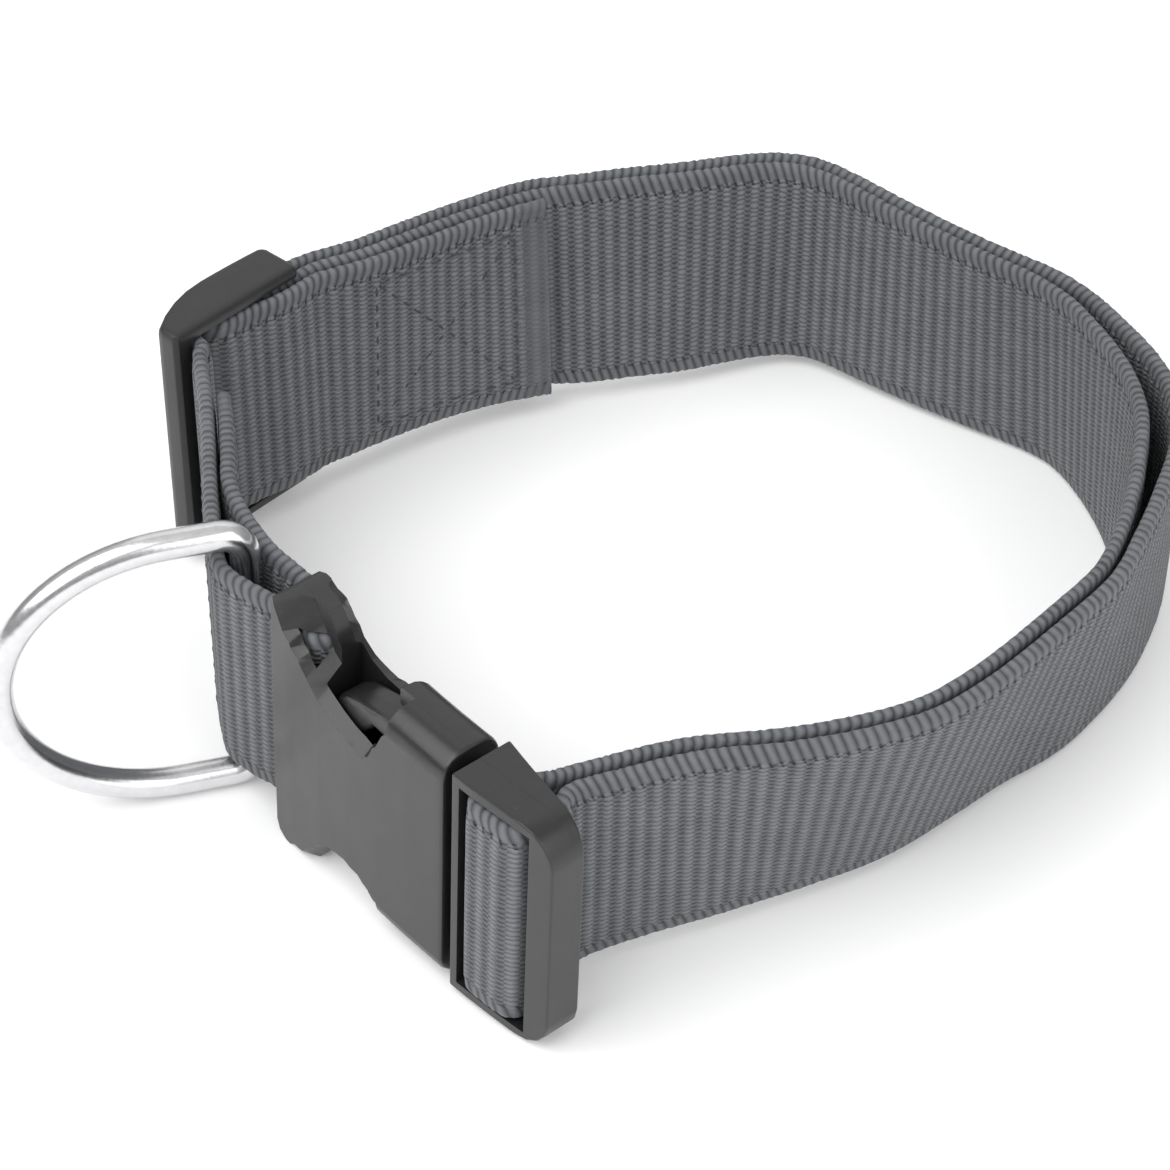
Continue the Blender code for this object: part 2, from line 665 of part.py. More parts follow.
def female_buckle(collection, cutters, parent):
    body = new_object("buckle_female", plate("buckle_female", female_outline(), 0.0, THICKNESS),
                      collection, parent)
    bowed(body.data, female_thickness)
    bevel(body, 0.7)

    section = rounded_box((0.0, -MOUTH_HALF), (THICKNESS, MOUTH_HALF), MOUTH_ROUND, 5)
    barrel = outline_mesh("mouth", [section], FEMALE_LENGTH - MOUTH_START)
    barrel.transform(Matrix(((0, 0, 1, 0), (1, 0, 0, 0), (0, 1, 0, 0), (0, 0, 0, 1))))
    barrel.transform(Matrix.Translation(((FEMALE_LENGTH + MOUTH_START) / 2 * MM, 0, 0)))
    mouth = new_object("mouth", bowed(barrel), collection)
    bevel(mouth, 0.5)
    boolean(body, mouth, "UNION", cutters)

    middle = THICKNESS / 2
    arm_room = ARM_THICKNESS / 2 + FIT_GAP
    inner_wall = pocket_end + BLOCK_WALL
    beyond = BLOCK_HALF + BEYOND
    cavity_half = MOUTH_HALF - MOUTH_WALL
    rooms = {
        "webbing pocket": ((-BEYOND, PANEL_THICKNESS, -SLOT_HALF), (pocket_end, THICKNESS + BEYOND, SLOT_HALF)),
        "side windows": ((inner_wall, middle - arm_room, -beyond),
                         (MOUTH_START - 1.0, middle + arm_room, beyond)),
        "mouth cavity": ((MOUTH_START - 1.2, middle - arm_room, -cavity_half),
                         (FEMALE_LENGTH + 1.0, middle + arm_room, cavity_half)),
    }
    for name, corners in rooms.items():
        cutter = new_object(name, bowed(block_mesh(name, *corners)), collection)
        boolean(body, cutter, "DIFFERENCE", cutters)
    recesses = (
        ("front thumb recess", THUMB_ROWS, 1, False, middle),
        ("back thumb recess", THUMB_ROWS, -1, True, middle),
        ("front waist", WAIST_ROWS, -1, False, WAIST_LIP),
        ("back waist", WAIST_ROWS, 1, True, WAIST_LIP),
    )
    for name, rows, side, back, lip in recesses:
        cutter = new_object(name, lip_cutter(name, rows, side, back, lip), collection)
        boolean(body, cutter, "DIFFERENCE", cutters)

    bar_low = -female_bar_middle - FEMALE_BAR_THICKNESS / 2
    bar_start = female_turn_at - FEMALE_BAR_LENGTH / 2
    outline = rounded_box((bar_start, bar_low),
                          (bar_start + FEMALE_BAR_LENGTH, bar_low + FEMALE_BAR_THICKNESS), 0.7)
    mesh = outline_mesh("female bar", [outline], 2 * SLOT_HALF + 1.0)
    boolean(body, new_object("female bar", bowed(mesh), collection), "UNION", cutters)
    return body


def arm_outline(side):
    """One sprung arm: straight through the mouth, then the tab that a thumb squeezes."""
    tab = scaled(TAB_ROWS, FEMALE_LENGTH, MOUTH_HALF)
    outer = MOUTH_HALF - MOUTH_WALL - ARM_CLEARANCE
    root = male_start + MALE_WALL / 2
    rows = [(root, outer), (MOUTH_START - 0.5, outer)] + tab + [(root, tab[-1][1])]
    return [(x, side * y) for x, y in rows]


def male_thickness(along):
    return blend(along, ((male_start, THICKNESS), (male_end, MALE_END_THICKNESS)))


def male_buckle(collection, cutters, parent):
    outline = rounded_box((male_start, -FRAME_HALF), (male_end, FRAME_HALF), FRAME_CORNER, 4)
    outline = [(x, y) for x, y in outline if x > male_start + FRAME_CORNER]
    outline += [(male_start, FRAME_HALF), (male_start, -FRAME_HALF)]
    mesh = bowed(plate("buckle_male", outline, 0.0, THICKNESS), male_thickness)
    frame = new_object("buckle_male", mesh, collection, parent)
    bevel(frame, 0.7, angle=50.0)
    slot = block_mesh("strap slot", (male_start + MALE_WALL, -BEYOND, -SLOT_HALF),
                      (male_slot_end, THICKNESS + BEYOND, SLOT_HALF))
    boolean(frame, new_object("strap slot", bowed(slot), collection), "DIFFERENCE", cutters)

    bar_low = -male_bar_middle - MALE_BAR_THICKNESS / 2
    outline = rounded_box((male_bar_start, bar_low), (male_bar_end, bar_low + MALE_BAR_THICKNESS), 0.6)
    mesh = bowed(outline_mesh("male bar", [outline], 2 * SLOT_HALF + 1.0))
    boolean(frame, new_object("male bar", mesh, collection), "UNION", cutters)

    low = (THICKNESS - ARM_THICKNESS) / 2
    high = low + ARM_THICKNESS
    for name, side in (("upper arm", 1), ("lower arm", -1)):
        arm = new_object(name, bowed(plate(name, arm_outline(side), low, high)), collection)
        bevel(arm, 0.6, 2, 50.0)
        boolean(frame, arm, "UNION", cutters)
    reach = MOUTH_START - 1.0
    guide = [(reach, -0.9), (male_start + MALE_WALL / 2, -1.8), (male_start + MALE_WALL / 2, 1.8), (reach, 0.9)]
    mesh = bowed(plate("guide", guide, low, high))
    boolean(frame, new_object("guide", mesh, collection), "UNION", cutters)
    return frame


def slider_profile():
    """Side view of a rail, along the slider and outward: bowed, with thinner ends."""
    half = SLIDER_LENGTH / 2
    far_end = slider_far_bar + SLIDER_FAR_BAR_THICKNESS
    steps = 8
    rows = [(-half, 0.5), (-half + 0.5, 0.0), (half - 0.5, 0.0), (half, 0.5)]
    for k in range(steps + 1):
        share = 1 - 2 * k / steps
        end = far_end if share > 0 else SLIDER_END_THICKNESS
        crown = max(SLIDER_CROWN, far_end + 0.4)
        rows.append((half * share, end + (crown - end) * (1 - share * share)))
    return rows


def strap_slider(collection, cutters, parent):
    """Three bars between two bowed rails. Local X runs along it, Y outward and Z up."""
    half = SLIDER_LENGTH / 2
    mesh = outline_mesh("slider", [slider_profile()], 2 * (SLOT_HALF + SLIDER_RAIL))
    body = new_object("slider", mesh, collection, parent)
    bevel(body, 1.0, 2, 50.0)

    opening = block_mesh("slider opening", (-half + SLIDER_END_BAR, -BEYOND, -SLOT_HALF),
                         (half - SLIDER_END_BAR, SLIDER_CROWN + BEYOND, SLOT_HALF))
    boolean(body, new_object("slider opening", opening, collection), "DIFFERENCE", cutters)
    under_far = block_mesh("under far bar", (0.0, -BEYOND, -SLOT_HALF),
                           (half + BEYOND, slider_far_bar, SLOT_HALF))
    boolean(body, new_object("under far bar", under_far, collection), "DIFFERENCE", cutters)
    outline = rounded_box((-SLIDER_BAR_LENGTH / 2, slider_bar_low), (SLIDER_BAR_LENGTH / 2, slider_bar_high), 0.5)
    bar = new_object("slider bar", outline_mesh("slider bar", [outline], 2 * SLOT_HALF + 1.0), collection)
    boolean(body, bar, "UNION", cutters)
    return body


def ring_line():
    """Middle line of the ring's wire: away from the bar and up, from the lower corner round."""
    line = []
    for cy, start in ((-1, 180.0), (1, 90.0)):
        arc = []
        for k in range(4):
            angle = math.radians(start + 90.0 * k / 3)
            arc.append((RING_CORNER + RING_CORNER * math.cos(angle),
                        cy * (RING_HALF - RING_CORNER) + RING_CORNER * math.sin(angle)))
        line.append(arc)
    lower, upper = line
    bow = RING_LENGTH - RING_STRAIGHT
    steps = 16
    arc = []
    for k in range(steps + 1):
        angle = math.radians(-90.0 + 180.0 * k / steps)
        arc.append((RING_STRAIGHT + bow * math.cos(angle), RING_HALF * math.sin(angle)))
    bar = [(0.0, RING_HALF * share) for share in (0.5, 0.0, -0.5)]
    return lower + arc + upper + bar


def d_ring(collection, parent):
    curve = bpy.data.curves.new("d_ring", "CURVE")
    curve.dimensions = "3D"
    curve.bevel_depth = WIRE / 2 * MM
    curve.bevel_resolution = 3
    curve.use_fill_caps = True
    spline = curve.splines.new("POLY")
    points = ring_line()
    spline.points.add(len(points) - 1)
    for place, (away, up) in zip(spline.points, points):
        place.co = (away * MM, 0.0, up * MM, 1.0)
    spline.use_cyclic_u = True
    holder = bpy.data.objects.new("ring wire", curve)
    bpy.context.scene.collection.objects.link(holder)
    bpy.context.view_layer.update()
    mesh = bpy.data.meshes.new_from_object(holder.evaluated_get(bpy.context.evaluated_depsgraph_get()))
    bpy.data.objects.remove(holder)
    bm = bmesh.new()
    bm.from_mesh(mesh)
    bmesh.ops.remove_doubles(bm, verts=bm.verts, dist=0.000001)
    bmesh.ops.recalc_face_normals(bm, faces=bm.faces)
    bm.to_mesh(mesh)
    bm.free()
    return new_object("d_ring", mesh, collection, parent)


def empty(name, collection, at, turn, parent, dip=0.0, height=HARDWARE_MIDDLE):
    """A holder on its piece's reference point, at the height of the piece's middle line."""
    obj = bpy.data.objects.new(name, None)
    obj.empty_display_size = 0.01
    collection.objects.link(obj)
    obj.parent = parent
    obj.location = (at.x * MM, at.y * MM, height * MM)
    obj.rotation_euler = (0.0, dip, turn)
    return obj


def centre_on_floor(root, pieces):
    """Move the whole collar so that the middle of its box's underside is at the origin."""
    bpy.context.view_layer.update()
    depsgraph = bpy.context.evaluated_depsgraph_get()
    low = Vector((math.inf,) * 3)
    high = Vector((-math.inf,) * 3)
    for piece in pieces:
        shape = piece.evaluated_get(depsgraph)
        mesh = shape.to_mesh()
        for vert in mesh.vertices:
            place = shape.matrix_world @ vert.co
            low = Vector(map(min, low, place))
            high = Vector(map(max, high, place))
        shape.to_mesh_clear()
    root.location = (-(low.x + high.x) / 2, -(low.y + high.y) / 2, -low.z)
    bpy.context.view_layer.update()


def main():
    for obj in list(bpy.data.objects):
        bpy.data.objects.remove(obj)
    collar = bpy.data.collections.new("dog_collar")
    cutters = bpy.data.collections.new("cutters")
    for collection in (collar, cutters):
        bpy.context.scene.collection.children.link(collection)

    root = bpy.data.objects.new("collar_root", None)
    collar.objects.link(root)
    buckle_frame = empty("buckle_frame", collar, buckle.at, buckle.turn, root,
                         math.radians(BUCKLE_DIP))
    slider_frame = empty("slider_frame", collar, slider.at, slider.turn, root)
    ring_frame = empty("ring_frame", collar, ring_at, math.radians(RING_TURN), root,
                       height=RING_HALF + WIRE / 2)

    webbing = material("grey webbing", (0.15, 0.155, 0.165), 0.85)
    plastic = material("black moulded plastic", (0.03, 0.03, 0.032), 0.35)
    steel = material("plated steel", (0.75, 0.75, 0.77), 0.2, 1.0)

    pieces = {
        strap(collar, root): webbing,
        female_buckle(collar, cutters, buckle_frame): plastic,
        male_buckle(collar, cutters, buckle_frame): plastic,
        strap_slider(collar, cutters, slider_frame): plastic,
        d_ring(collar, ring_frame): steel,
    }
    for obj, finish in pieces.items():
        own = finish.copy()
        own.name = obj.name + " finish"
        obj.data.materials.clear()
        obj.data.materials.append(own)
    ring_piece = bpy.data.objects["d_ring"]
    ring_piece.data.shade_smooth()
    centre_on_floor(root, pieces)


main()
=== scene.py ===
# %% [markdown]
# # A webbing dog collar, dressed over its fixed frame
#
# The real object is a dog collar: one long strip of grey woven webbing, laid double, that carries a black
# plastic side-release buckle, a plastic strap slider and a steel leash ring. Its solids are already made and
# packed, and they stay where they are. This lesson adds what the eye sees: the ribs and edges of the weave,
# the sewing, the sheen of moulded plastic, the bright plated wire, and the light of a photo studio.
#
# Everything is in metres, with Z up and the collar standing on the floor at Z = 0.

# %% Load the frame
import math

import bmesh
import bpy
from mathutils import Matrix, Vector, noise


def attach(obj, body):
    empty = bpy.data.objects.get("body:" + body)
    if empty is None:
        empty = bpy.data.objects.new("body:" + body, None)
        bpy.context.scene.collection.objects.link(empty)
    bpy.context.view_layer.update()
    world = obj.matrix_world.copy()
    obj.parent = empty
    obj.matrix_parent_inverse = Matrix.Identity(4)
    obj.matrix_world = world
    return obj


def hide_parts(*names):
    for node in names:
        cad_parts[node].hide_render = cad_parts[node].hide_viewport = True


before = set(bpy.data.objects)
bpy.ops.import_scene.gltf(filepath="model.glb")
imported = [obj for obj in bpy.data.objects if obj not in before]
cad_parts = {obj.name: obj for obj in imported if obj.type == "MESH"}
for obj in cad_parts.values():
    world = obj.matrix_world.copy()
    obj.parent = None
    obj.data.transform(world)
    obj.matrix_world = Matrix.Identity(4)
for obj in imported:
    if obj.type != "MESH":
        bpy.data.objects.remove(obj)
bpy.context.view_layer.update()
MM = 0.001
print("frame nodes:", ", ".join(sorted(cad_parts)))

# %% [markdown]
# ## The path of the webbing
#
# The plain strap of the frame already follows the real path: it starts as a sewn flap, rounds the slider's
# bar, goes once round the neck, wraps the male buckle, comes back, and ends at the ring. We could draw that
# path again by hand, but then the two could drift apart. It is safer to read it: the plain strap has a ridge
# along its upper edge and one along its lower edge, and each is a chain of mesh edges from end to end. An
# edge belongs to a ridge when its two faces meet at a clear angle and look up, or down, between them.

# %% Read the two ridges
LOOKS_UP = 0.9                     # least upward share of the direction between a ridge edge's faces
RIDGE_ANGLE = math.radians(35.0)   # least angle between those faces
SAME_POINT = 0.01 * MM


def ridge(bm, up):
    """The chain of points along the strap's upper (up = 1) or lower (up = -1) ridge."""
    links = {}
    for edge in bm.edges:
        if len(edge.link_faces) != 2:
            continue
        one, two = edge.link_faces
        middle = (one.normal + two.normal).normalized()
        if middle.z * up > LOOKS_UP and one.normal.angle(two.normal) > RIDGE_ANGLE:
            a, b = edge.verts
            links.setdefault(a, []).append(b)
            links.setdefault(b, []).append(a)
    ends = [vert for vert, others in links.items() if len(others) == 1]
    chain = [max(ends, key=lambda vert: vert.co.y)]
    before = None
    while True:
        onward = [vert for vert in links[chain[-1]] if vert is not before]
        if not onward:
            break
        before = chain[-1]
        chain.append(onward[0])
    return [vert.co.copy() for vert in chain]


bm = bmesh.new()
bm.from_mesh(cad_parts["strap"].data)
bmesh.ops.remove_doubles(bm, verts=bm.verts, dist=SAME_POINT)
upper_ridge = ridge(bm, 1)
lower_ridge = ridge(bm, -1)
bm.free()
print("ridge points:", len(upper_ridge), len(lower_ridge))

# %% [markdown]
# A chain of straight pieces would show as kinks, so both ridges are drawn again as smooth curves. The kind of
# curve is a Catmull-Rom spline: it passes through every point, and its direction at a point follows the two
# neighbours. Along it we take a point every third of a millimetre, fine enough for each rib of the weave to
# have a true rounded shape.

# %% Smooth path, evenly spaced
STEP = 0.33 * MM


def smooth_path(points, marks):
    """Catmull-Rom curve through the points, read at the given marks (point number plus share)."""
    out = []
    last = len(points) - 1
    for mark in marks:
        i = min(int(mark), last - 1)
        t = mark - i
        a = points[max(i - 1, 0)]
        b = points[i]
        c = points[i + 1]
        d = points[min(i + 2, last)]
        straight = 2 * b + (c - a) * t
        bend = (2 * a - 5 * b + 4 * c - d) * t * t + (3 * b - a - 3 * c + d) * t * t * t
        out.append(0.5 * (straight + bend))
    return out


def even_marks(points, step):
    """Marks that lie one step apart along a chain of points."""
    marks = []
    ahead = 0.0
    for i in range(len(points) - 1):
        length = (points[i + 1] - points[i]).length
        while ahead < length:
            marks.append(i + ahead / length)
            ahead += step
        ahead -= length
    return marks + [float(len(points) - 1)]


centre_chain = [(a + b) / 2 for a, b in zip(upper_ridge, lower_ridge)]
marks = even_marks(centre_chain, STEP)
path_top = smooth_path(upper_ridge, marks)
path_low = smooth_path(lower_ridge, marks)
path = [(a + b) / 2 for a, b in zip(path_top, path_low)]
runs = [0.0]
for a, b in zip(path, path[1:]):
    runs.append(runs[-1] + (b - a).length)
LENGTH = runs[-1]
print("webbing length:", round(LENGTH, 4), "m in", len(path), "stations")

# %% [markdown]
# At each station we also need to know which way is up the webbing and which way is out of its face. Up runs
# from the lower ridge to the upper one, so it leans where the webbing flares. Out is at right angles to both
# the path and up: that is what the cross product of two directions gives.

# %% Directions at each station
NEAR = 3                   # stations ahead and behind that give the direction of the path
ups = [(a - b) / 2 for a, b in zip(path_top, path_low)]
outs = []
for i in range(len(path)):
    way = path[min(i + NEAR, len(path) - 1)] - path[max(i - NEAR, 0)]
    outs.append(ups[i].cross(way).normalized())
leans = [math.degrees(up.angle(Vector((0, 0, 1)))) for up in ups]
print("greatest lean of the webbing, degrees:", round(max(leans), 1))

# %% [markdown]
# ## The woven strip
#
# Heavy webbing is woven flat: thick weft threads cross it from edge to edge, and hundreds of fine warp
# threads run over and under them. Each weft thread makes one raised rib. At the two long edges the weft turns
# back round the outermost warp, which leaves a rope-like row of small knots. We give ribs and knots to the
# mesh itself, because they show along the outline, and leave the fine threads to the material. One section is
# a closed loop of points: up one face, round the upper edge, down the other face and round the lower edge.

# %% Shape of one section
HALF_THICK = 0.75 * MM
RIB = 1.65 * MM            # from one weft rib to the next
RIB_RELIEF = 0.15 * MM
KNOT = 1.00 * MM           # from one edge knot to the next
KNOT_RELIEF = 0.05 * MM
MELT = 3.2 * MM            # heat-sealed end
# Columns: height as a share of half the width, thickness as a share of half the thickness
SECTION = (
    (0.0, 1.0), (0.25, 1.0), (0.50, 1.0), (0.72, 1.0), (0.84, 0.97), (0.885, 0.86),
    (0.92, 0.93), (0.955, 0.90), (0.985, 0.66), (1.0, 0.30),
)
rising = [(-height, thick) for height, thick in reversed(SECTION[1:])] + list(SECTION)
section = rising + [(height, -thick) for height, thick in reversed(rising)]
print("points in a section:", len(section))

# %% [markdown]
# The relief is a sum of gentle waves. Ribs are a cosine wave along the webbing that fades out towards the
# selvedge, the firm band beside the edge. Knots are a cosine wave too, but a shorter one, and only at the
# edge. Real weaving is never perfect, so a little smooth noise moves each value, and near a cut end that was
# sealed with a hot blade the threads have melted flat.

# %% Relief of the weave
RIBS_END, KNOTS_START = 0.84, 0.93   # shares of half the width between which ribs give way to knots
RISE_START = 0.90                    # share of half the width where the knots start to stand up
KNOT_RISE = 0.20 * MM
MELT_FULL = 0.6                      # share of the sealed end that is fully melted
MELT_FLAT = 0.85                     # share of the relief that is gone there
DRIFT = 0.25                         # most that noise moves a knot of the face, in knots
RIB_DRIFT = 0.3                      # share of that drift for a rib
RISE_DRIFT = 0.35                    # most that noise moves a knot of the edge, in knots
KNOT_SLANT = 0.2                     # knots that the row moves on over half the width
FACE_WAVES = (900.0, 3.0)            # noise waves to a metre of webbing, and to half its width
EDGE_WAVES = (700.0, 5.0)            # the same for the edge knots


def ramp(value, low, high):
    """From 0 at low to 1 at high, smooth at both ends."""
    t = min(max((value - low) / (high - low), 0.0), 1.0)
    return t * t * (3 - 2 * t)


def woven_relief(run, height):
    """How far the surface stands out at a place: along the webbing, and up as a share of half the width."""
    melted = 1 - ramp(min(run, LENGTH - run), MELT_FULL * MELT, MELT)
    edge = ramp(abs(height), RIBS_END, KNOTS_START)
    drift = noise.noise(Vector((run * FACE_WAVES[0], height * FACE_WAVES[1], 0.0))) * DRIFT
    rib = math.cos(2 * math.pi * (run / RIB + drift * RIB_DRIFT)) * RIB_RELIEF * (1 - edge)
    knot = math.cos(2 * math.pi * (run / KNOT + height * KNOT_SLANT + drift)) * KNOT_RELIEF * edge
    return (rib + knot) * (1 - MELT_FLAT * melted)


def knot_rise(run, height):
    """How far an edge knot stands up above the edge."""
    drift = noise.noise(Vector((run * EDGE_WAVES[0], height * EDGE_WAVES[1], 4.0))) * RISE_DRIFT
    return math.cos(2 * math.pi * (run / KNOT + drift)) * ramp(abs(height), RISE_START, 1.0) * KNOT_RISE


print("relief on top of a rib:", round(woven_relief(10 * RIB, 0.0) / MM, 3), "mm")

# %% [markdown]
# With the section and its relief, the strip is built row by row: one loop of points at each station, and a
# band of faces between each loop and the next. The knots stand above the edge, so the section itself stops
# just inside it. Each face also keeps its place on the webbing in millimetres, as a UV map for the material.

# %% Build the strip
EDGE_INSET = 0.985         # height of the section itself, as a share of half the width


def woven_strip():
    """The webbing as one closed mesh, with its length and height in millimetres kept as a UV map."""
    mesh = bpy.data.meshes.new("webbing")
    bm = bmesh.new()
    weave = bm.loops.layers.uv.new("weave")
    rows = []
    for centre, up, out, run in zip(path, ups, outs, runs):
        side = up.normalized()
        row = []
        for height, thick in section:
            stand = thick * HALF_THICK + math.copysign(woven_relief(run, height), thick)
            rise = math.copysign(knot_rise(run, height), height)
            row.append(bm.verts.new(centre + up * height * EDGE_INSET + side * rise + out * stand))
        rows.append(row)
    count = len(section)
    half = ups[0].length / MM
    for i in range(len(rows) - 1):
        for k in range(count):
            n = (k + 1) % count
            face = bm.faces.new((rows[i][k], rows[i][n], rows[i + 1][n], rows[i + 1][k]))
            face.smooth = True
            places = ((runs[i], k), (runs[i], n), (runs[i + 1], n), (runs[i + 1], k))
            for corner, (run, j) in zip(face.loops, places):
                corner[weave].uv = (run / MM, section[j][0] * half)
    for row, run in ((rows[0], 0.0), (rows[-1], LENGTH)):
        face = bm.faces.new(row)
        for corner, (height, thick) in zip(face.loops, section):
            corner[weave].uv = (run / MM, height * half)
    bmesh.ops.recalc_face_normals(bm, faces=bm.faces)
    bm.to_mesh(mesh)
    bm.free()
    return mesh


webbing = bpy.data.objects.new("webbing", woven_strip())
bpy.context.scene.collection.objects.link(webbing)
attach(webbing, "collar")
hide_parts("strap")
print("webbing faces:", len(webbing.data.polygons))

# %% [markdown]
# ## Sewing
#
# Each folded end is sewn down with a box and a cross: four straight seams and two diagonals through both
# layers. Every stitch is a short bridge of thread that dips into the webbing at both ends. We model one
# stitch as a small bent tube and lay it along the seams. To place it, we need to find a point on the webbing
# by its distance along the path, its height, and the face that it lies on.

# %% A point on the webbing's face
INSIDE = Vector((6.0, 3.0, 0.0)) * MM   # a point on the floor, well inside the collar
FROM_END = 10.0 * MM                    # where the side of a folded end is read


def on_face(run, height, side, lift=0.0):
    """A point on the face: run along the path, height from the middle, side 1 or -1, all in metres."""
    place = min(max(run / LENGTH, 0.0), 1.0) * (len(path) - 1)
    i = min(int(place), len(path) - 2)
    t = place - i
    centre = path[i].lerp(path[i + 1], t)
    up = ups[i].lerp(ups[i + 1], t).normalized()
    out = outs[i].lerp(outs[i + 1], t)
    return centre + up * height + out * side * (HALF_THICK + lift)


def inner_side(run):
    """The side of the webbing that looks at the middle of the collar."""
    centre = on_face(run, 0.0, 0)
    towards = (on_face(run, 0.0, 1) - centre).dot(INSIDE - centre)
    return 1 if towards > 0 else -1


print("side of the flap that shows:", inner_side(FROM_END))

# %% [markdown]
# A stitch is five rings of six points. The rings at its ends lie below the face and the middle ones just
# above it, so the thread seems to come up, cross and go down again.

# %% Stitches along a seam
THREAD = 0.17 * MM                        # half the thickness of the sewing thread
THREAD_SIDES = 6
STITCH = 2.1 * MM
STITCH_GAP = 0.06                         # share of a stitch left open at each of its ends
RISE = (-0.30, 0.00, 0.07, 0.00, -0.30)   # lift of the five rings, in millimetres


def add_stitch(bm, points):
    """A bent tube of thread through the points."""
    rings = []
    for i, point in enumerate(points):
        way = (points[min(i + 1, len(points) - 1)] - points[max(i - 1, 0)]).normalized()
        side = way.orthogonal().normalized()
        other = way.cross(side)
        ring = []
        for k in range(THREAD_SIDES):
            angle = 2 * math.pi * k / THREAD_SIDES
            ring.append(bm.verts.new(point + (side * math.cos(angle) + other * math.sin(angle)) * THREAD))
        rings.append(ring)
    for low, high in zip(rings, rings[1:]):
        for k in range(THREAD_SIDES):
            n = (k + 1) % THREAD_SIDES
            bm.faces.new((low[k], low[n], high[n], high[k])).smooth = True
    bm.faces.new(list(reversed(rings[0])))
    bm.faces.new(rings[-1])


def add_seam(bm, start, end, side):
    """Stitches from one place on the webbing to another. A place is (run, height) in metres."""
    count = max(1, round(math.dist(start, end) / STITCH))
    for k in range(count):
        points = []
        for j, lift in enumerate(RISE):
            share = (k + STITCH_GAP + (1 - 2 * STITCH_GAP) * j / (len(RISE) - 1)) / count
            run = start[0] + (end[0] - start[0]) * share
            height = start[1] + (end[1] - start[1]) * share
            points.append(on_face(run, height, side, lift * MM))
        add_stitch(bm, points)


print("thread:", THREAD_SIDES, "sided,", len(RISE), "rings to a stitch")

# %% [markdown]
# The flap's sewing shows on the inside of the collar, and so does the tail's. The tail's seams also go
# through to the layer behind it and show again on the outside. That layer is a long way off along the
# webbing, so we look for the station nearest to each seam, and leave the tail itself out of the search.

# %% Sew the folded ends
SEAM_HEIGHT = 9.6 * MM     # the long seams, above and below the middle
SEAM_INSET = 4.0 * MM      # the end seam, from the end of the webbing
FLAP_SEAM = 21.5 * MM      # the far seam of the flap, from its end
TAIL_SEAM = 22.5 * MM      # the far seam of the tail, from its end
TAIL_LAYER = 45.0 * MM     # more than the tail's own length


def box_and_cross(name, first, last, side):
    """The sewing of one folded end, between two distances along the webbing."""
    low, high = -SEAM_HEIGHT, SEAM_HEIGHT
    corners = ((first, low), (last, low), (last, high), (first, high))
    mesh = bpy.data.meshes.new(name)
    bm = bmesh.new()
    for k in range(4):
        add_seam(bm, corners[k], corners[(k + 1) % 4], side)
    add_seam(bm, corners[0], corners[2], side)
    add_seam(bm, corners[1], corners[3], side)
    bmesh.ops.recalc_face_normals(bm, faces=bm.faces)
    bm.to_mesh(mesh)
    bm.free()
    sewing = bpy.data.objects.new(name, mesh)
    bpy.context.scene.collection.objects.link(sewing)
    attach(sewing, "collar")
    return sewing


def run_behind(tail_run):
    """Distance along the webbing of the layer that lies behind a place on the tail."""
    point = on_face(tail_run, 0.0, 0)
    found = [i for i, run in enumerate(runs) if run < LENGTH - TAIL_LAYER]
    return runs[min(found, key=lambda i: (path[i] - point).length)]


tail_runs = (LENGTH - TAIL_SEAM, LENGTH - SEAM_INSET)
outer_runs = sorted(run_behind(run) for run in tail_runs)
flap_sewing = box_and_cross("flap_sewing", SEAM_INSET, FLAP_SEAM, inner_side(FROM_END))
tail_sewing = box_and_cross("tail_sewing", *tail_runs, inner_side(LENGTH - FROM_END))
outer_sewing = box_and_cross("outer_sewing", *outer_runs, -inner_side(outer_runs[0]))
print("outer sewing between", [round(run, 4) for run in outer_runs])

# %% [markdown]
# ## Moulded pieces
#
# The two buckle halves and the slider are hard plastic from a steel mould. Their solids already have the
# right shape, so each gets a display copy instead of a new model. A copy can be refined freely: its
# triangles are joined back into flat faces, every edge that is still sharp gets a narrow rounding, because
# no mould makes a perfectly sharp edge and the rounding is what catches the light, and the shading is smooth
# except over true corners.

# %% Display copies of the moulded pieces
SAME_CORNER = 0.005 * MM
FLAT_ANGLE = math.radians(1.0)     # faces that meet at less are one flat face
SHARP_ANGLE = math.radians(32.0)   # edges that turn by more are rounded
FACE_WEIGHT = 80                   # how far large faces lead the shading
BUCKLE_ROUNDING = 0.16 * MM
SLIDE_ROUNDING = 0.14 * MM


def moulded_copy(node, name, rounding):
    """A refined copy of a frame node, which is hidden in its place."""
    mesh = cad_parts[node].data.copy()
    mesh.name = name
    bm = bmesh.new()
    bm.from_mesh(mesh)
    bmesh.ops.remove_doubles(bm, verts=bm.verts, dist=SAME_CORNER)
    bmesh.ops.dissolve_limit(bm, angle_limit=FLAT_ANGLE, verts=bm.verts, edges=bm.edges)
    bmesh.ops.recalc_face_normals(bm, faces=bm.faces)
    for face in bm.faces:
        face.smooth = True
    bm.to_mesh(mesh)
    bm.free()
    mesh.materials.clear()
    piece = bpy.data.objects.new(name, mesh)
    bpy.context.scene.collection.objects.link(piece)
    round_edges = piece.modifiers.new("edge rounding", "BEVEL")
    round_edges.width = rounding
    round_edges.segments = 2
    round_edges.limit_method = "ANGLE"
    round_edges.angle_limit = SHARP_ANGLE
    even_shading = piece.modifiers.new("even shading", "WEIGHTED_NORMAL")
    even_shading.keep_sharp = True
    even_shading.weight = FACE_WEIGHT
    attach(piece, "collar")
    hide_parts(node)
    return piece


